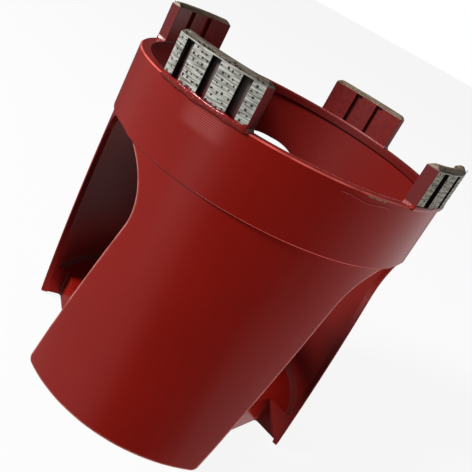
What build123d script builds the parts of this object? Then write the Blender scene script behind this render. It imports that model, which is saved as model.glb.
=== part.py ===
"""Diamond core bit: a slotted steel barrel on a threaded base, with four diamond segments on its rim.

Millimetres. +Z runs up the barrel to the cutting end, and the origin is the centre of the underside.
Angles are in degrees, counter-clockwise from +X, seen from the cutting end.
"""

import os
from math import radians, tan

from build123d import *

# Cutting end
cutting_diameter = 82.0
ring_clearance = 0.5  # the segments stand this far proud of the ring, so that the barrel runs free
segment_count = 4
first_segment_angle = -114.8
segment_length = 22.9
segment_thickness = 2.8
segment_side_height = 9.1
segment_roof_height = 1.25  # before the ridge is rounded
segment_ridge_radius = 0.8
segment_corner_radius = 1.2
groove_pitch_angle = 10.6
outer_groove_count = 3
outer_groove_width = 2.3
outer_groove_depth = 1.3
inner_groove_count = 2
inner_groove_width = 2.0
inner_groove_depth = 1.0
groove_height = 8.9

# Barrel
barrel_height = 78.6
ring_height = 15.7
ring_step = 0.5
wall = 1.5
lip_height = 1.9
lip_width = 0.75
rim_chamfer = 0.3
ring_edge_chamfer = 0.2
barrel_foot_chamfer = 0.3

# Windows of the barrel
window_count = 3
first_window_angle = -150.0
window_top_width = 31.9  # before the corners of its arch are rounded
window_foot_width = 29.5
window_top_fall = 0.8  # from its leading corner to its trailing one
window_corner_radius = 13.7
window_lean = 10.8
window_lean_height = 25.0  # at this height the middle of a window lies on its own angle
window_top_rise = 1.05  # above the ring's foot, before the corners of the arch are rounded
window_foot_radius = 1.6
window_edge_chamfer = 0.3

# Base
plate_thickness = 8.5
weld_size = 1.3
notch_distance = 28.8  # from the axis
notch_width = 33.6
notch_corner_radius = 1.0
hub_diameter = 28.0
hub_rise = 6.5
hub_chamfer = 1.0
thread_diameter = 16.0  # nominal size of the M16 thread, whose turns stand inwards from this bore
thread_chamfer = 1.1

# Worked out from the sizes above
cutting_radius = cutting_diameter / 2
ring_radius = cutting_radius - ring_clearance
body_radius = ring_radius - ring_step
inner_radius = body_radius - wall
lip_radius = inner_radius - lip_width
ring_line = barrel_height - ring_height
lip_line = barrel_height - lip_height
segment_inner_radius = cutting_radius - segment_thickness
segment_middle_radius = cutting_radius - segment_thickness / 2
segment_shoulder = barrel_height + segment_side_height
segment_top = segment_shoulder + segment_roof_height
outer_groove_floor = cutting_radius - outer_groove_depth
inner_groove_floor = segment_inner_radius + inner_groove_depth
hub_radius = hub_diameter / 2
hub_top = plate_thickness + hub_rise
weld_top = plate_thickness + weld_size
notch_middle = (plate_thickness / 2 - window_lean_height) * tan(radians(window_lean))
thread_radius = thread_diameter / 2
cut_margin = 5.0
tolerance = 0.01


def facing_plane(angle, distance):
    """An upright plane that looks outwards at an angle, with heights measured from the underside."""
    outward = Vector(1, 0, 0).rotate(Axis.Z, angle)
    sideways = Vector(0, 1, 0).rotate(Axis.Z, angle)
    return Plane(origin=outward * distance, x_dir=sideways, z_dir=outward)


def profile_plane(angle):
    """An upright plane through the axis, with distances from the axis measured outwards at an angle."""
    outward = Vector(1, 0, 0).rotate(Axis.Z, angle)
    return Plane(origin=(0, 0, 0), x_dir=outward, z_dir=outward.rotate(Axis.Z, -90))


def equal_steps(first_angle, count):
    """The angles of a number of equal steps round the axis."""
    return [first_angle + 360 / count * step for step in range(count)]


def groove_fan(middle_angle, count):
    """The first angle and the range of a row of grooves, one pitch apart, about the middle of a segment."""
    return middle_angle - groove_pitch_angle * (count - 1) / 2, groove_pitch_angle * count


def on_window_outline(edge):
    """Whether an edge runs along a window on the outside of the body: not level, nor the tube's seam."""
    points = [edge.position_at(share) for share in (0, 0.5, 1)]
    on_body = all(abs(Vector(point.X, point.Y).length - body_radius) < tolerance for point in points)
    return on_body and edge.geom_type not in (GeomType.CIRCLE, GeomType.LINE)


# Window cutter: a leaning slot that narrows towards the foot and opens through the underside. Its arched
# top just cuts the foot of the ring, and its foot flares out to round the legs' corners. The base has a notch
# behind each window, with upright walls, a little wider than the window's foot.
window_angles = equal_steps(first_window_angle, window_count)
window_planes = [facing_plane(angle, notch_distance) for angle in window_angles]
leg_angle = first_window_angle + 180 / window_count
window_top = ring_line + window_top_rise
top_middle = (window_top - window_lean_height) * tan(radians(window_lean))
foot_middle = -window_lean_height * tan(radians(window_lean))

with BuildPart() as windows:
    with BuildSketch(*window_planes):
        with BuildLine():
            Polyline(
                (foot_middle - window_foot_width / 2, 0),
                (foot_middle + window_foot_width / 2, 0),
                (top_middle + window_top_width / 2, window_top),
                (top_middle - window_top_width / 2, window_top - window_top_fall),
                close=True,
            )
        make_face()
        fillet(vertices().sort_by(Axis.Y)[-2:], window_corner_radius)
        Rectangle(cutting_diameter, cut_margin, align=(Align.CENTER, Align.MAX))
        foot_corners = vertices().filter_by_position(Axis.Y, -tolerance, tolerance).sort_by(Axis.X)[1:-1]
        fillet(foot_corners, window_foot_radius)
    extrude(amount=cutting_radius + cut_margin - notch_distance)

with BuildPart() as notches:
    with BuildSketch(*window_planes):
        with Locations((notch_middle, 0)):
            Rectangle(notch_width, 2 * hub_top)
    extrude(amount=cutting_radius + cut_margin - notch_distance)

# Barrel: a turned tube with a thicker ring at its mouth and a lip inside the rim. Its profile stands in
# the middle of a leg, so that the tube's seam stays clear of the windows.
with BuildPart() as barrel:
    with BuildSketch(profile_plane(leg_angle)):
        with BuildLine():
            Polyline(
                (inner_radius, 0),
                (body_radius, 0),
                (body_radius, ring_line),
                (ring_radius, ring_line),
                (ring_radius, barrel_height),
                (lip_radius, barrel_height),
                (lip_radius, lip_line),
                (inner_radius, lip_line),
                close=True,
            )
        make_face()
        chamfer(vertices().group_by(Axis.Y)[-1], rim_chamfer)
        chamfer(vertices().group_by(Axis.X)[-1].sort_by(Axis.Y)[0], ring_edge_chamfer)
        chamfer(vertices().group_by(Axis.Y)[0].sort_by(Axis.X)[-1], barrel_foot_chamfer)
    revolve(axis=Axis.Z)
    add(windows.part, mode=Mode.SUBTRACT)
    chamfer(edges(Select.LAST).filter_by(on_window_outline), window_edge_chamfer)

# Base: a turned plate welded into the foot of the barrel, with a hub for the shank's thread
with BuildPart() as base:
    with BuildSketch(profile_plane(leg_angle)):
        with BuildLine():
            Polyline(
                (0, 0),
                (inner_radius, 0),
                (inner_radius, weld_top),
                (inner_radius - weld_size, plate_thickness),
                (hub_radius, plate_thickness),
                (hub_radius, hub_top),
                (0, hub_top),
                close=True,
            )
        make_face()
        chamfer(vertices().group_by(Axis.Y)[-1].sort_by(Axis.X)[-1], hub_chamfer)
    revolve(axis=Axis.Z)
    with Locations((0, 0, hub_top)):
        Hole(thread_radius)
    circles = edges().filter_by(GeomType.CIRCLE)
    thread_rims = circles.filter_by(lambda edge: edge.radius < thread_radius + tolerance)
    chamfer(thread_rims, thread_chamfer)
    add(notches.part, mode=Mode.SUBTRACT)
    notch_corners = edges(Select.LAST).filter_by(Axis.Z).group_by(Edge.length)[0]
    fillet(notch_corners, notch_corner_radius)

# Segments: curved bars with square ends and a roofed top, whose inner and outer grooves are staggered.
# Each stands on the rim, where it is brazed.
segments = []
for number, angle in enumerate(equal_steps(first_segment_angle, segment_count), start=1):
    with BuildPart() as segment:
        with BuildSketch(Plane.XZ):
            with BuildLine():
                Polyline(
                    (segment_inner_radius, barrel_height),
                    (cutting_radius, barrel_height),
                    (cutting_radius, segment_shoulder),
                    (segment_middle_radius, segment_top),
                    (segment_inner_radius, segment_shoulder),
                    close=True,
                )
            make_face()
            fillet(vertices().group_by(Axis.Y)[-1], segment_ridge_radius)
        revolve(axis=Axis.Z)
        ridge_height = segment.part.bounding_box().max.Z
        with BuildSketch(facing_plane(angle, 0)):
            with Locations((0, ridge_height)):
                Rectangle(segment_length, ridge_height, align=(Align.CENTER, Align.MAX))
            fillet(vertices().group_by(Axis.Y)[-1], segment_corner_radius)
        extrude(amount=cutting_radius + cut_margin, mode=Mode.INTERSECT)
        outer_fan = groove_fan(angle, outer_groove_count)
        inner_fan = groove_fan(angle, inner_groove_count)
        with BuildSketch(Plane.XY.offset(barrel_height)):
            with PolarLocations(outer_groove_floor, outer_groove_count, *outer_fan):
                outwards = (Align.MIN, Align.CENTER)
                Rectangle(outer_groove_depth + cut_margin, outer_groove_width, align=outwards)
            with PolarLocations(inner_groove_floor, inner_groove_count, *inner_fan):
                inwards = (Align.MAX, Align.CENTER)
                Rectangle(inner_groove_depth + cut_margin, inner_groove_width, align=inwards)
        extrude(amount=groove_height, mode=Mode.SUBTRACT)
    segment.part.label = f"segment_{number}"
    segments.append(segment.part)

barrel.part.label = "barrel"
base.part.label = "base"

os.makedirs("parts", exist_ok=True)
for piece in [barrel.part, base.part, *segments]:
    export_step(piece, f"parts/{piece.label}.step")
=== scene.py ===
"""Looks of the diamond core bit: glossy red paint over turned steel, bare diamond segments, studio light.

The solids come from the frame. This script gives them their materials and adds what they leave out: the
braze, the diamonds and the turns of the thread. Lengths are in metres, written as millimetres times MM.
Azimuths are in degrees, counter-clockwise from +X, seen from the cutting end.
"""

import math
import random

import bmesh
import bpy
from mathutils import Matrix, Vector, noise


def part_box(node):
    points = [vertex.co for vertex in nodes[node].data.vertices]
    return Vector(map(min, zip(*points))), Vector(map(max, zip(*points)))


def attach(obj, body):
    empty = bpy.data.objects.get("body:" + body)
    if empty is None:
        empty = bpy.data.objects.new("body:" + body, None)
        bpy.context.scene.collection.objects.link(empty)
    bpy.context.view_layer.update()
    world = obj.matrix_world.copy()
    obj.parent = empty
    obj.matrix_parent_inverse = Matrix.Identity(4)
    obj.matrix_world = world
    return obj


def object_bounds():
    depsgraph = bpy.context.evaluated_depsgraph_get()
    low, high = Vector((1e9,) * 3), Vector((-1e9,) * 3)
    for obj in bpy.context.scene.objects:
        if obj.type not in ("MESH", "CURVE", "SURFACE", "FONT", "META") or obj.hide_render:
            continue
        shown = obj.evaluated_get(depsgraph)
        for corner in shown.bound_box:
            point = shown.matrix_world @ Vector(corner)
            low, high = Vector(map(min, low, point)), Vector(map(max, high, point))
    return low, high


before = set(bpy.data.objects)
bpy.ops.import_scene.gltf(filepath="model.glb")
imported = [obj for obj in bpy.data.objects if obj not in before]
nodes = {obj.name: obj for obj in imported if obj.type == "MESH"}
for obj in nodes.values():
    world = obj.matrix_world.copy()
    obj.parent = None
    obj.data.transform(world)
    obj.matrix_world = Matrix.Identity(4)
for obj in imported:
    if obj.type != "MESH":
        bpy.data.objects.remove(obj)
cad_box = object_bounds()

MM = 0.001

# Sizes read from the frame
ring_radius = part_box("barrel")[1].x
rim_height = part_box("barrel")[1].z
hub_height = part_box("base")[1].z
segment_names = [name for name in sorted(nodes) if name.startswith("segment")]
segment_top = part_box(segment_names[0])[1].z
segment_angles = {}
for name in segment_names:
    low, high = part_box(name)
    middle = (low + high) / 2
    segment_angles[name] = math.atan2(middle.y, middle.x)

# Sizes of the barrel and the base, which follow the solids' own
RING_LINE = rim_height - 15.7 * MM  # the foot of the thicker ring
LIP_LINE = rim_height - 1.9 * MM  # the foot of the lip inside the rim
INNER_RADIUS = ring_radius - 2.0 * MM
LIP_RADIUS = INNER_RADIUS - 0.75 * MM
PLATE_TOP = 8.5 * MM
WELD_SIZE = 1.3 * MM
THREAD_RADIUS = 8.0 * MM
THREAD_PITCH = 2.0 * MM
THREAD_DEPTH = 1.08 * MM
THREAD_CHAMFER = 1.1 * MM

# Sizes of the segments, which follow the solids' own
SEGMENT_LENGTH = 22.9 * MM
SEGMENT_RADIUS = ring_radius + 0.5 * MM
SEGMENT_THICKNESS = 2.8 * MM
SEGMENT_INNER = SEGMENT_RADIUS - SEGMENT_THICKNESS
GROOVE_PITCH = math.radians(10.6)
GROOVE_DEPTH = 1.3 * MM
SHOULDER = 9.1 * MM  # from the rim to the foot of a segment's roof

# Marks of making and use
PAINT_HEIGHT = 1.05 * MM  # the dipped paint climbs this far up the segments
TURNING_PITCH = 0.4 * MM
BRAZE_STEP = 0.22 * MM
GRIT_PITCH = 1.35 * MM
GRIT_ROW = 1.2 * MM
GRIT_JITTER = 0.22 * MM
GRIT_FLATNESS = 0.7  # how little the diamonds stand out of the metal
GRIT_CLEARANCE = 1.4 * MM  # from the middle of a groove
CROWN_LANES = (-1.0, -0.35, 0.35, 1.0)  # millimetres from the ridge

# Parts of the barrel that carry marks and painted highlights, as first and last azimuth
FRONT_LEG = (-140, -35)
FRONT_RIM = (-135, -40)
RIPPLES_LIT = (-117, -104)
DRIPPED = (-68, -50)
SCRAPED = (-59.5, -51)

# Colours, linear. Pairs are the darker and the lighter tone of one surface.
RED = (0.30, 0.0085, 0.0045, 1)
RED_DEEP = (0.27, 0.00765, 0.00405, 1)
# Painted shade: the inside of the barrel, above its lowest 20 to 30 mm, is painted darker
RED_INSIDE_SHADE = (0.2, 0.0065, 0.004, 1)
RED_SHADED = (0.06, 0.003, 0.002, 1)
# Thin paint on the edges, made lighter still as a painted highlight
RED_WORN_AND_HIGHLIGHT = (0.8, 0.13, 0.105, 1)
# Thin paint beside the windows, made bright as a painted highlight
RED_THIN_AND_HIGHLIGHT = (0.9, 0.36, 0.31, 1)
# Painted highlight on the turning ripples, where a glint falls on the ring
RED_RIPPLE_HIGHLIGHT = (0.6, 0.2, 0.19, 1)
DUST = (0.7, 0.4, 0.33, 1)
SCRAPE = (0.3, 0.18, 0.11, 1)
# The bead's paint, and a lighter tone on the crests of its lumps that is a painted highlight
BEAD_AND_CREST_HIGHLIGHT = (0.25, 0.011, 0.008, 1), (0.5, 0.09, 0.065, 1)
BARE = (0.2, 0.195, 0.165, 1), (0.66, 0.66, 0.61, 1)
GROUND = (0.09, 0.072, 0.054, 1), (0.185, 0.155, 0.12, 1)
DIPPED = (0.14, 0.009, 0.008, 1), (0.2, 0.011, 0.009, 1)
# Painted shade on the dipped ends of the segments
DIPPED_END_SHADE = (0.15, 0.006, 0.006, 1)
GROOVE = (0.2, 0.15, 0.135, 1)
GROOVE_FOOT = (0.16, 0.012, 0.01, 1)
# Painted shade on the walls of the grooves
GROOVE_WALL_SHADE = (0.012, 0.009, 0.008, 1)
DIAMOND = (0.012, 0.012, 0.010, 1), (0.07, 0.065, 0.05, 1)
STEEL = (0.22, 0.2, 0.18, 1), (0.34, 0.32, 0.29, 1)

# What the sides and crowns of the other segments are multiplied by, next to the front one: painted shade
# on their sides, painted light on their crowns
OTHER_SIDE_SHADE = (0.6, 0.56, 0.48, 1)
OTHER_CROWN_LIGHT = (1.65, 1.45, 1.25, 1)

# Levels round the object, as azimuth and level: the studio that glossy surfaces mirror, and the soft light
STUDIO = [
    (-180, 0.3), (-125, 0.36), (-103, 0.03), (-75, 0.03), (-45, 0.05), (0, 0.4), (28, 0.72), (50, 0.72),
    (75, 0.1), (130, 0.1), (160, 0.3),
]
SOFT_LIGHT = [(-180, 0.12), (-110, 0.06), (-60, 0.06), (10, 0.08), (60, 0.25), (130, 0.25), (160, 0.15)]
STRIP_AZIMUTH = -132  # a low strip light that the left of the object mirrors
STRIP_HALF_WIDTH = 12
STRIP_LEVEL = 0.6


# Shader helpers
class Graph:
    """A short way to write a node tree."""

    def __init__(self, tree):
        self.tree = tree
        tree.nodes.clear()

    def node(self, kind, **settings):
        made = self.tree.nodes.new(kind)
        for name, value in settings.items():
            setattr(made, name, value)
        return made

    def link(self, source, target):
        self.tree.links.new(source, target)

    def feed(self, socket, value):
        """Links a socket's value, or sets a plain one."""
        if isinstance(value, bpy.types.NodeSocket):
            self.link(value, socket)
        else:
            socket.default_value = value

    def math(self, operation, first, second=0.0, clamp=False):
        made = self.node("ShaderNodeMath", operation=operation, use_clamp=clamp)
        self.feed(made.inputs[0], first)
        self.feed(made.inputs[1], second)
        return made.outputs[0]

    def product(self, first, *others):
        for other in others:
            first = self.math("MULTIPLY", first, other)
        return first

    def inverse(self, share):
        return self.math("SUBTRACT", 1.0, share)

    def ramp(self, value, low, high, to_low=0.0, to_high=1.0):
        made = self.node("ShaderNodeMapRange", interpolation_type="SMOOTHSTEP")
        for socket, given in zip(made.inputs, (value, low, high, to_low, to_high)):
            self.feed(socket, given)
        return made.outputs[0]

    def between(self, value, low, high, soft):
        """One between two values, and zero outside them."""
        rise = self.ramp(value, low - soft, low + soft)
        fall = self.ramp(value, high - soft, high + soft, 1.0, 0.0)
        return self.product(rise, fall)

    def sector(self, azimuths, soft):
        """One between two azimuths, and zero outside them."""
        low, high = azimuths
        return self.between(self.angle, math.radians(low), math.radians(high), soft)

    def mix(self, share, first, second, blend="MIX"):
        made = self.node("ShaderNodeMix", data_type="RGBA", blend_type=blend)
        self.feed(made.inputs["Factor"], share)
        self.feed(made.inputs[6], first)
        self.feed(made.inputs[7], second)
        return made.outputs[2]

    def noise(self, vector, scale, detail=2.0):
        made = self.node("ShaderNodeTexNoise")
        self.feed(made.inputs["Vector"], vector)
        made.inputs["Scale"].default_value = scale
        made.inputs["Detail"].default_value = detail
        return made.outputs["Fac"]

    def patches(self, scale, low, high, to_low=0.0, to_high=1.0, detail=2.0):
        """Soft patches all over the surface."""
        return self.ramp(self.noise(self.position, scale, detail), low, high, to_low, to_high)

    def bump(self, height, distance, strength=1.0, normal=None):
        made = self.node("ShaderNodeBump")
        made.inputs["Strength"].default_value = strength
        made.inputs["Distance"].default_value = distance
        self.feed(made.inputs["Height"], height)
        if normal:
            self.link(normal, made.inputs["Normal"])
        return made.outputs[0]

    def bevel(self, radius, samples):
        """The normal of a surface whose edges are rounded."""
        made = self.node("ShaderNodeBevel", samples=samples)
        made.inputs["Radius"].default_value = radius
        return made.outputs[0]

    def true_normal(self):
        return self.node("ShaderNodeNewGeometry").outputs["True Normal"]

    def split(self, vector):
        made = self.node("ShaderNodeSeparateXYZ")
        self.link(vector, made.inputs[0])
        return made.outputs

    def place(self):
        """Object position, with its distance from the axis and its angle round it."""
        self.position = self.node("ShaderNodeTexCoord").outputs["Object"]
        self.x, self.y, self.z = self.split(self.position)
        squares = self.math("ADD", self.product(self.x, self.x), self.product(self.y, self.y))
        self.radius = self.math("SQRT", squares)
        self.angle = self.math("ARCTAN2", self.y, self.x)

    def near_edge(self, distance):
        """One at an edge, and zero where the surface is further from one than the distance."""
        both = self.node("ShaderNodeVectorMath", operation="DOT_PRODUCT")
        self.link(self.bevel(distance, 8), both.inputs[0])
        self.link(self.true_normal(), both.inputs[1])
        return self.ramp(both.outputs["Value"], 0.975, 0.9999, 1.0, 0.0)

    def facing(self):
        """How far the true surface faces away from the axis, and how far it faces up."""
        x, y, z = self.split(self.true_normal())
        out = self.math("ADD", self.product(x, self.x), self.product(y, self.y))
        return self.math("DIVIDE", out, self.radius), z


def material(name):
    made = bpy.data.materials.new(name)
    made.use_nodes = True
    return made, Graph(made.node_tree)


def shaded(g, base, rough, **values):
    """The principled shader and its output, with the given inputs."""
    shader = g.node("ShaderNodeBsdfPrincipled")
    out = g.node("ShaderNodeOutputMaterial")
    g.link(shader.outputs[0], out.inputs[0])
    g.feed(shader.inputs["Base Color"], base)
    g.feed(shader.inputs["Roughness"], rough)
    for name, value in values.items():
        g.feed(shader.inputs[name], value)


def dress(piece, made):
    piece.data.materials.clear()
    piece.data.materials.append(made)


# Materials
def thin_paint_and_highlights(g, outwards, upwards):
    """Shares of thin paint with a painted highlight: on the chamfers and the rim, and beside the windows
    of the front leg.
    """
    fading = g.patches(180.0, 0.25, 0.6, 0.45, 1.0)
    front_leg = g.product(g.sector(FRONT_LEG, 0.05), 0.9)
    above_windows = g.ramp(g.z, RING_LINE - 0.6 * MM, RING_LINE - 0.3 * MM)
    # the painted highlight on the edges below the ring is kept mostly to the front leg
    worn_and_lit = g.math("MAXIMUM", above_windows, g.math("ADD", front_leg, 0.1))
    outer_chamfers = g.product(g.between(outwards, 0.3, 0.87, 0.06), worn_and_lit)

    rim_chamfer = g.product(g.between(outwards, -0.87, -0.5, 0.05), g.ramp(upwards, 0.5, 0.6))
    rim_edge = g.between(g.radius, LIP_RADIUS + 0.25 * MM, LIP_RADIUS + 0.65 * MM, 0.05 * MM)
    rim_edge = g.product(rim_edge, g.ramp(upwards, 0.9, 0.95))
    beads = g.patches(1300.0, 0.4, 0.55)
    rim = g.product(g.math("MAXIMUM", rim_edge, rim_chamfer), g.sector(FRONT_RIM, 0.15), beads)
    edge_wear_and_highlight = g.math("MULTIPLY", g.math("MAXIMUM", outer_chamfers, rim), fading, clamp=True)

    below_ring = g.ramp(g.z, RING_LINE - 0.7 * MM, RING_LINE - 0.4 * MM, 1.0, 0.0)
    on_tube = g.product(g.ramp(outwards, 0.9, 0.95), below_ring)
    # a painted highlight of thin paint along the window edges of the front leg
    window_line_highlight = g.product(on_tube, g.near_edge(0.8 * MM), front_leg, fading)
    return edge_wear_and_highlight, window_line_highlight


def scrape_mark(g, outwards):
    """A scrape on the outer edge of the rim, beside the right segment."""
    band = g.between(g.z, rim_height - 0.65 * MM, rim_height - 0.2 * MM, 0.08 * MM)
    broken = g.patches(900.0, 0.44, 0.52, detail=3.0)
    return g.product(g.sector(SCRAPED, 0.01), band, broken, g.ramp(outwards, 0.3, 0.5))


def dust_specks(g):
    dots = g.node("ShaderNodeTexVoronoi")
    dots.inputs["Scale"].default_value = 90.0
    g.link(g.position, dots.inputs["Vector"])
    return g.product(g.ramp(dots.outputs["Distance"], 0.015, 0.03, 1.0, 0.0), g.patches(60.0, 0.62, 0.66))


def drip(g):
    """The edge of a run of thick paint that sags below the rim."""
    sag = g.product(g.math("SINE", g.product(g.angle, 26.0)), 0.22 * MM)
    away = g.math("SUBTRACT", g.math("SUBTRACT", g.z, rim_height - 1.7 * MM), sag)
    line = g.ramp(g.math("ABSOLUTE", away), 0.0, 0.18 * MM, 1.0, 0.0)
    return g.product(line, g.sector(DRIPPED, 0.03))


def paint():
    """Enamel: a fine orange peel, the turning marks below it, dust, and thin paint on the edges. Painted
    highlights lie on the edges and the ripples, and painted shade lies inside the barrel and at the weld
    and the lip.
    """
    made, g = material("red_paint")
    g.place()
    outwards, upwards = g.facing()
    inside = g.ramp(outwards, -0.3, 0.1, 1.0, 0.0)
    edge_wear_and_highlight, window_line_highlight = thin_paint_and_highlights(g, outwards, upwards)
    turning = g.math("SINE", g.product(g.z, 2 * math.pi / TURNING_PITCH))
    patch = g.between(g.z, rim_height - 5.1 * MM, rim_height - 1.0 * MM, 0.8 * MM)
    # painted highlight: pale lines on the turning ripples, only in one sector near the rim
    ripple_highlight = g.product(g.ramp(turning, 0.1, 0.8, 0.0, 0.5), g.sector(RIPPLES_LIT, 0.06), patch)
    weld = g.product(
        g.between(g.z, PLATE_TOP + 0.05 * MM, PLATE_TOP + WELD_SIZE - 0.05 * MM, 0.05 * MM),
        g.between(g.radius, INNER_RADIUS - WELD_SIZE - 0.1 * MM, INNER_RADIUS - 0.1 * MM, 0.05 * MM))
    lip = g.product(inside, g.ramp(g.z, LIP_LINE - 0.2 * MM, LIP_LINE, 0.0, 0.45))

    base = g.mix(g.patches(25.0, 0.35, 0.65, detail=3.0), RED, RED_DEEP)
    layers = (
        # thin paint and painted highlight on the chamfers and the rim
        (edge_wear_and_highlight, RED_WORN_AND_HIGHLIGHT),
        # painted highlight beside the windows of the front leg
        (window_line_highlight, RED_THIN_AND_HIGHLIGHT),
        (scrape_mark(g, outwards), SCRAPE),
        (dust_specks(g), DUST),
        (ripple_highlight, RED_RIPPLE_HIGHLIGHT),
        # painted shade inside the barrel
        (g.product(inside, g.ramp(g.z, 20 * MM, 30 * MM)), RED_INSIDE_SHADE),
        (g.math("MAXIMUM", g.product(weld, 0.6), lip), RED_SHADED),
    )
    for share, colour in layers:
        base = g.mix(share, base, colour)

    relief = g.bump(g.noise(g.position, 1600.0, 1.0), 0.008 * MM, 0.5)
    relief = g.bump(turning, 0.0012 * MM, 1.0, relief)
    relief = g.bump(drip(g), 0.07 * MM, 1.0, relief)
    relief = g.bump(g.product(inside, g.noise(g.position, 1100.0)), 0.05 * MM, 0.6, relief)

    rough = g.math("MAXIMUM", g.product(inside, g.ramp(g.z, 48 * MM, 62 * MM, 0.58, 0.4)), 0.28)
    rough = g.math("MAXIMUM", rough, g.product(weld, 0.7))
    shaded(g, base, rough, Normal=relief)
    return made


def sintered():
    """Bare sintered metal with grinding marks. Inner faces, ends, feet and grooves keep their paint.
    Painted shade lies on the groove walls, the ends and the other segments' sides, and painted light on
    the other segments' crowns.
    """
    made, g = material("sintered_metal")
    g.place()
    outwards, upwards = g.facing()

    # The place of a point on its own segment
    first = segment_angles[segment_names[0]]
    quarter = 2 * math.pi / len(segment_names)
    from_first = g.math("SUBTRACT", g.angle, first)
    turned = g.math("ADD", from_first, 4.5 * quarter)
    along = g.math("SUBTRACT", g.math("MODULO", turned, quarter), quarter / 2)
    tangent = g.math("ABSOLUTE", g.product(g.radius, g.math("SINE", along)))
    above = g.math("SUBTRACT", g.z, rim_height)

    # Its surfaces
    crown = g.ramp(above, SHOULDER - 0.05 * MM, SHOULDER + 0.05 * MM)
    below = g.inverse(crown)
    inner = g.ramp(g.radius, SEGMENT_INNER + 1.1 * MM, SEGMENT_INNER + 1.2 * MM, 1.0, 0.0)
    end = g.ramp(tangent, SEGMENT_LENGTH / 2 - 0.12 * MM, SEGMENT_LENGTH / 2 - 0.03 * MM)
    sunk = SEGMENT_RADIUS - GROOVE_DEPTH - 0.1 * MM, SEGMENT_RADIUS - 0.08 * MM
    groove = g.product(g.between(g.radius, *sunk, 0.04 * MM), g.inverse(g.math("MAXIMUM", end, crown)))
    other = g.ramp(g.math("ABSOLUTE", from_first), quarter * 0.45, quarter * 0.5)

    # Bare metal, with streaks along the segment, and painted light and shade on the other segments
    streaked = g.node("ShaderNodeCombineXYZ")
    for socket, value, scale in zip(streaked.inputs, (along, g.radius, g.z), (12.0, 800.0, 3600.0)):
        g.feed(socket, g.product(value, scale))
    streaks = g.noise(streaked.outputs[0], 1.0, 3.0)
    streak = g.ramp(streaks, 0.35, 0.65)
    base = g.mix(crown, g.mix(streak, *BARE), g.mix(streak, *GROUND))
    # painted shade on the other segments' sides and painted light on their crowns
    other_lit_and_shaded = g.mix(1.0, base, g.mix(crown, OTHER_SIDE_SHADE, OTHER_CROWN_LIGHT), "MULTIPLY")
    base = g.mix(other, base, other_lit_and_shaded)

    # Grooves, with thin paint that is redder at the foot, and painted shade on their walls
    low = g.ramp(above, 1.5 * MM, 6.0 * MM, 1.0, 0.0)
    groove_paint_and_wall_shade = g.mix(g.product(low, 0.75), GROOVE, GROOVE_FOOT)
    level = g.math("MAXIMUM", g.math("ABSOLUTE", outwards), g.math("ABSOLUTE", upwards))
    # painted shade: the groove walls are painted near-black
    groove_paint_and_wall_shade = g.mix(g.ramp(level, 0.5, 0.7, 1.0, 0.0), groove_paint_and_wall_shade, GROOVE_WALL_SHADE)
    base = g.mix(groove, base, groove_paint_and_wall_shade)

    # Dipped paint, with painted shade on the segments' ends
    fold = g.noise(g.position, 900.0, 3.0)
    wobble = g.patches(600.0, 0.3, 0.7, -0.35 * MM, 0.35 * MM, detail=3.0)
    uneven = g.math("ADD", above, wobble)
    foot = g.ramp(uneven, PAINT_HEIGHT - 0.15 * MM, PAINT_HEIGHT + 0.15 * MM, 1.0, 0.0)
    painted = g.math("MAXIMUM", g.product(g.math("MAXIMUM", inner, end), below), foot)
    painted_end = g.product(end, below)
    # the ends are painted darker, as painted shade
    dipped_with_end_shade = g.mix(painted_end, g.mix(g.ramp(fold, 0.3, 0.7), *DIPPED), DIPPED_END_SHADE)
    base = g.mix(painted, base, dipped_with_end_shade)

    covered = g.math("MAXIMUM", painted, groove)
    rough = g.math("SUBTRACT", 0.45, g.product(covered, 0.07))
    rough = g.math("ADD", rough, g.product(painted_end, 0.22))
    metallic = g.product(g.inverse(covered), 0.12)
    relief = g.bump(streaks, 0.03 * MM, 0.6, g.bevel(0.2 * MM, 6))
    relief = g.bump(fold, 0.05 * MM, 0.5, relief)
    shaded(g, base, rough, Metallic=metallic, Normal=relief)
    return made


def diamond_grit():
    made, g = material("diamond_grit")
    g.place()
    shaded(g, g.mix(g.patches(2500.0, 0.3, 0.7), *DIAMOND), 0.3)
    return made


def thick_paint():
    """Thick paint over braze, which wrinkles, and shines on the outside. The crests of its lumps are
    painted lighter as a painted highlight.
    """
    made, g = material("thick_paint")
    g.place()
    lumps = g.noise(g.position, 1500.0)
    # painted highlight on the crests of the lumps
    base = g.mix(g.ramp(lumps, 0.55, 0.75), *BEAD_AND_CREST_HIGHLIGHT)
    rough = g.ramp(g.radius, SEGMENT_INNER, SEGMENT_RADIUS - 0.3 * MM, 0.5, 0.2)
    shaded(g, base, rough, Normal=g.bump(lumps, 0.09 * MM, 0.6))
    return made


def bare_steel():
    made, g = material("bare_steel")
    g.place()
    shaded(g, g.mix(g.patches(800.0, 0.3, 0.7), *STEEL), 0.38, Metallic=0.9)
    return made


red = paint()
metal = sintered()
for name, piece in nodes.items():
    dress(piece, metal if name in segment_names else red)


# Modelled pieces
def polar(radius, angle, height):
    return Vector((radius * math.cos(angle), radius * math.sin(angle), height))


def added(name, mesh, made_of, smooth=True):
    """A finished bmesh as a piece that rides on the bit, kept inside the outline of the solids."""
    low, high = cad_box
    for vertex in mesh.verts:
        vertex.co = Vector(max(l, min(h, c)) for l, c, h in zip(low, vertex.co, high))
    for face in mesh.faces:
        face.smooth = smooth
    bmesh.ops.recalc_face_normals(mesh, faces=mesh.faces)
    data = bpy.data.meshes.new(name)
    mesh.to_mesh(data)
    mesh.free()
    made = bpy.data.objects.new(name, data)
    bpy.context.scene.collection.objects.link(made)
    dress(made, made_of)
    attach(made, "root")


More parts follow.
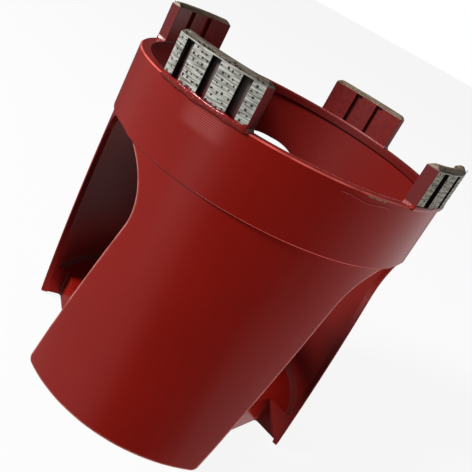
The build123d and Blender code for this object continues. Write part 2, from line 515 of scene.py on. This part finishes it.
def loft(mesh, rings, closed):
    """Quads between neighbouring rings of vertices; closed joins the last ring to the first."""
    rows = [[mesh.verts.new(point) for point in ring] for ring in rings]
    pairs = list(zip(rows, rows[1:])) + ([(rows[-1], rows[0])] if closed else [])
    for one, two in pairs:
        for step in range(len(one)):
            after = (step + 1) % len(one)
            mesh.faces.new((one[step], two[step], two[after], one[after]))
    if not closed:
        mesh.faces.new(rows[0])
        mesh.faces.new(rows[-1])


def footprint(angle, step):
    """Points round a segment's foot in even steps, each with its outward direction."""
    across = polar(1, angle + math.pi / 2, 0)
    count = round(SEGMENT_LENGTH / step)
    end_count = round(SEGMENT_THICKNESS / step)
    outer = SEGMENT_RADIUS, math.asin(SEGMENT_LENGTH / 2 / SEGMENT_RADIUS)
    inner = SEGMENT_INNER, math.asin(SEGMENT_LENGTH / 2 / SEGMENT_INNER)
    points = []
    for (radius, half), (next_radius, next_half), side in ((outer, inner, 1), (inner, outer, -1)):
        for number in range(count + 1):
            a = angle + side * half * (2 * number / count - 1)
            points.append((polar(radius, a, 0), side * polar(1, a, 0)))
        corner = polar(radius, angle + side * half, 0)
        next_corner = polar(next_radius, angle + side * next_half, 0)
        for number in range(end_count + 1):
            points.append((corner.lerp(next_corner, number / end_count), side * across))
    return points


def braze(name, angle, seed):
    """The lumpy fillet of braze round a segment's foot, painted over."""
    mesh = bmesh.new()
    rings = []
    for place, outward in footprint(angle, BRAZE_STEP):
        lump = noise.noise(place * 420 + Vector((seed, 0, 0))) + 0.25 * noise.noise(place * 1700)
        radial = outward.dot(place.normalized())
        outside, inside, at_end = max(0.0, radial), max(0.0, -radial), 1 - abs(radial)
        high = (0.8 + 0.3 * lump) * (1 - 0.5 * inside) * MM
        proud = (0.05 + 0.06 * lump) * MM
        wide = (0.15 + 0.45 * at_end) * MM
        back = 0.5 * outside * MM
        drop = ((0.6 + 0.25 * lump) * outside + 0.05) * MM
        section = (  # distances out of the segment's side and above the rim
            (-0.25 * MM, high * 0.9),
            (0.02 * MM, high),
            (0.02 * MM + proud * 0.9, high * 0.55),
            (wide * 0.5 + proud, high * 0.15),
            (wide - back * 0.55 + proud, -drop * 0.55),
            (wide - back * 0.98, -drop),
            (-0.6 * MM, -0.05 * MM),
        )
        rings.append([place + outward * out + Vector((0, 0, rim_height + up)) for out, up in section])
    loft(mesh, rings, closed=True)
    added(name, mesh, bead_paint)


def crystal(mesh, place, outward, pick):
    """An uneven diamond, flattened along its outward direction."""
    size = pick.uniform(0.22, 0.38) * MM
    made = bmesh.ops.create_icosphere(mesh, subdivisions=1, radius=size)
    for vertex in made["verts"]:
        vertex.co *= pick.uniform(0.75, 1.1)
        vertex.co -= outward * vertex.co.dot(outward) * GRIT_FLATNESS
        vertex.co += place


def grit(name, angle, seed):
    """Diamonds in staggered rows on the outer lands, and in lanes along the crown."""
    pick = random.Random(seed)
    mesh = bmesh.new()
    columns = round(SEGMENT_LENGTH / GRIT_PITCH) - 1
    rows = round(SHOULDER / GRIT_ROW)
    for row in range(1, rows + 1):
        for column in range(columns + 1):
            shift = 0.5 * (row % 2) - 0.25
            tangent = (column - columns / 2 + shift) * GRIT_PITCH + pick.uniform(-GRIT_JITTER, GRIT_JITTER)
            around = tangent / SEGMENT_RADIUS
            height = rim_height + row * GRIT_ROW + pick.uniform(-GRIT_JITTER, GRIT_JITTER)
            to_groove = min(abs(around - GROOVE_PITCH * groove) * SEGMENT_RADIUS for groove in (-1, 0, 1))
            if to_groove < GRIT_CLEARANCE or abs(tangent) > SEGMENT_LENGTH / 2 - 0.5 * MM:
                continue
            crystal(mesh, polar(SEGMENT_RADIUS, angle + around, height), polar(1, angle + around, 0), pick)
    ridge_radius = SEGMENT_RADIUS - SEGMENT_THICKNESS / 2
    slope = (segment_top - rim_height - SHOULDER) / (SEGMENT_THICKNESS / 2)
    for lane in CROWN_LANES:
        for column in range(columns + 1):
            tangent = (column - columns / 2 + pick.uniform(-0.35, 0.35)) * GRIT_PITCH
            if abs(tangent) > SEGMENT_LENGTH / 2 - 0.9 * MM:
                continue
            height = segment_top - abs(lane) * MM * slope
            place = polar(ridge_radius + lane * MM, angle + tangent / ridge_radius, height)
            crystal(mesh, place, Vector((0, 0, 1)), pick)
    added(name, mesh, diamond, smooth=False)


def thread(name):
    """The thread's ridge, which winds up the bore of the hub and runs in and out over a quarter turn."""
    mesh = bmesh.new()
    turn_count = 72
    fade_count = turn_count / 4
    low, high = THREAD_CHAMFER + 0.3 * MM, hub_height - THREAD_CHAMFER - 0.3 * MM
    turns = (high - low) / THREAD_PITCH - 0.75
    count = round(turns * turn_count)
    root = THREAD_RADIUS + 0.15 * MM
    rings = []
    for number in range(count + 1):
        turned = turns * number / count
        a = 2 * math.pi * turned
        z = low + (0.375 + turned) * THREAD_PITCH
        crest = THREAD_RADIUS - THREAD_DEPTH * min(1.0, number / fade_count, (count - number) / fade_count)
        section = ((root, -0.44), (crest, -0.12), (crest, 0.12), (root, 0.44))
        rings.append([polar(radius, a, z + share * THREAD_PITCH) for radius, share in section])
    loft(mesh, rings, closed=False)
    added(name, mesh, steel, smooth=False)


bead_paint = thick_paint()
diamond = diamond_grit()
steel = bare_steel()
for number, (name, angle) in enumerate(segment_angles.items(), start=1):
    braze(f"braze_{number}", angle, 7.0 * number)
    grit(f"grit_{number}", angle, number)
thread("base_thread")

# Camera at the photograph's viewing angle
camera_data = bpy.data.cameras.new("camera")
camera_data.sensor_width = 36
camera_data.lens = 49.392
camera_data.clip_start = 0.01
camera = bpy.data.objects.new("camera", camera_data)
camera.location = Vector((3.209, -158.869, 104.839)) * MM
camera.rotation_euler = [math.radians(angle) for angle in (66.407, -26.974, 11.841)]
bpy.context.scene.collection.objects.link(camera)
bpy.context.scene.camera = camera


# Lamps
def lamp(name, azimuth, elevation, distance, size, power, mirrored):
    """A soft lamp aimed at the middle of the object, which glossy surfaces may mirror."""
    data = bpy.data.lights.new(name, "AREA")
    data.shape = "RECTANGLE"
    data.size, data.size_y = size
    data.energy = power
    made = bpy.data.objects.new(name, data)
    up = math.radians(elevation)
    towards = polar(math.cos(up), math.radians(azimuth), math.sin(up))
    made.location = Vector((0, 0, 45 * MM)) + towards * distance
    made.rotation_euler = (-towards).to_track_quat("-Z", "Y").to_euler()
    made.visible_glossy = mirrored
    bpy.context.scene.collection.objects.link(made)


lamp("key", azimuth=-152, elevation=36, distance=1.0, size=(0.3, 0.14), power=11.6, mirrored=True)
lamp("low_fill", azimuth=-18, elevation=-48, distance=1.2, size=(0.8, 0.8), power=13.0, mirrored=False)


# World
def level_around(g, azimuth, stops):
    """A level that changes with the azimuth."""
    made = g.node("ShaderNodeValToRGB")
    made.color_ramp.interpolation = "EASE"
    for number, (angle, level) in enumerate(stops):
        stop = made.color_ramp.elements[number] if number < 2 else made.color_ramp.elements.new(1.0)
        stop.position = angle / 360 + 0.5
        stop.color = (level, level, level, 1)
    g.link(g.math("ADD", g.math("DIVIDE", azimuth, 2 * math.pi), 0.5), made.inputs[0])
    return made.outputs[0]


def studio_world():
    """White to the camera. Glossy surfaces mirror a studio whose side in front of the object is dark."""
    world = bpy.data.worlds.new("studio")
    world.use_nodes = True
    bpy.context.scene.world = world
    g = Graph(world.node_tree)
    out = g.node("ShaderNodeOutputWorld")
    background = g.node("ShaderNodeBackground")
    background.inputs["Color"].default_value = (1, 1, 1, 1)
    g.link(background.outputs[0], out.inputs[0])
    x, y, z = g.split(g.node("ShaderNodeTexCoord").outputs["Generated"])
    azimuth = g.math("ARCTAN2", y, x)

    strip = g.math("ABSOLUTE", g.math("SUBTRACT", azimuth, math.radians(STRIP_AZIMUTH)))
    strip = g.ramp(strip, 0.0, math.radians(STRIP_HALF_WIDTH), STRIP_LEVEL, 0.0)
    strip = g.product(strip, g.between(z, -0.36, -0.12, 0.1))
    studio = g.product(level_around(g, azimuth, STUDIO), g.ramp(z, 0.0, 0.5, 1.0, 0.15))
    studio = g.math("ADD", studio, strip)

    rays = g.node("ShaderNodeLightPath").outputs
    soft_light = level_around(g, azimuth, SOFT_LIGHT)
    level = g.math("MAXIMUM", rays["Is Camera Ray"], rays["Is Transmission Ray"])
    level = g.math("MAXIMUM", level, g.product(rays["Is Glossy Ray"], studio))
    level = g.math("MAXIMUM", level, g.product(rays["Is Diffuse Ray"], soft_light))
    g.link(level, background.inputs["Strength"])


studio_world()


# Floor
def pale_floor():
    """A white floor. To the camera it mostly shines by itself, so that only a faint shadow shows on it."""
    made, g = material("pale_floor")
    shader = g.node("ShaderNodeBsdfDiffuse")
    shader.inputs["Color"].default_value = (0.9, 0.9, 0.9, 1)
    glow = g.node("ShaderNodeEmission")
    both = g.node("ShaderNodeMixShader")
    out = g.node("ShaderNodeOutputMaterial")
    g.link(shader.outputs[0], both.inputs[1])
    g.link(glow.outputs[0], both.inputs[2])
    g.link(g.product(g.node("ShaderNodeLightPath").outputs["Is Camera Ray"], 0.9), both.inputs[0])
    g.link(both.outputs[0], out.inputs[0])
    return made


bpy.ops.mesh.primitive_plane_add(size=60, location=(0, 0, 0))
floor = bpy.context.object
floor.name = "floor"
floor.visible_glossy = False
floor.visible_diffuse = False
floor.visible_shadow = False  # the low fill shines up from under it, as a white table would
dress(floor, pale_floor())

bpy.context.scene.view_settings.view_transform = "Standard"
